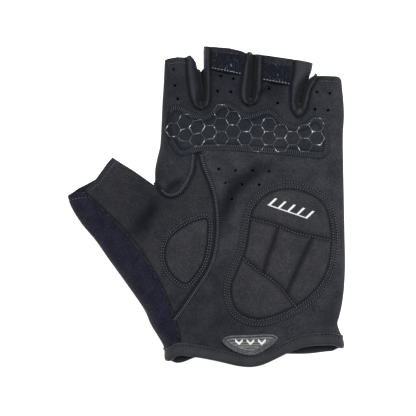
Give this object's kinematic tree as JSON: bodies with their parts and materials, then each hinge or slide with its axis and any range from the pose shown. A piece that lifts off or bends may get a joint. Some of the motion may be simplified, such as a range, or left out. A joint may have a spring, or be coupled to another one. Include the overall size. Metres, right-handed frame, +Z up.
{
  "type": "cycling glove",
  "caption": "Half-finger cycling glove for the left hand, lying palm up, with padded palm, honeycomb grip print, pull loops and a moulded cuff tab.",
  "frame": {"origin": "middle of the foot of the bounding box, on the surface that the glove's back rests on", "axes": "+Y from the cuff to the fingertips, +X from the thumb to the little finger, +Z up out of the palm"},
  "size_m": [0.1474, 0.1698, 0.021],
  "materials": {
    "palm_suede": "fine brushed synthetic suede, charcoal",
    "pad_suede": "fine brushed synthetic suede, a little lighter",
    "terry": "short stretch terry, dark navy",
    "stretch_cloth": "smooth stretch cloth with a faint sheen",
    "binding_cloth": "folded stretch binding",
    "knuckle_cloth": "fine suede, dark",
    "silicone": "clear grey silicone print, uneven gloss",
    "webbing": "coarse woven webbing with bright flecks",
    "tab_rubber": "satin moulded rubber",
    "reflective_film": "silver reflective transfer"
  },
  "bodies": {
    "root": {"palm_panel": "palm_suede", "thumb_panel": "palm_suede", "thumb_side_panel": "terry", "back_panel": "stretch_cloth", "index_middle_fourchette": "stretch_cloth", "middle_ring_fourchette": "stretch_cloth", "ring_little_fourchette": "stretch_cloth", "cuff_binding": "binding_cloth", "knuckle_pad": "knuckle_cloth", "grip_print": "silicone", "thumb_pad": "pad_suede", "heel_pad": "pad_suede", "middle_pull_loop": "webbing", "ring_pull_loop": "webbing", "pull_tab": "tab_rubber", "reflective_mark": "reflective_film"}
  },
  "joints": []
}
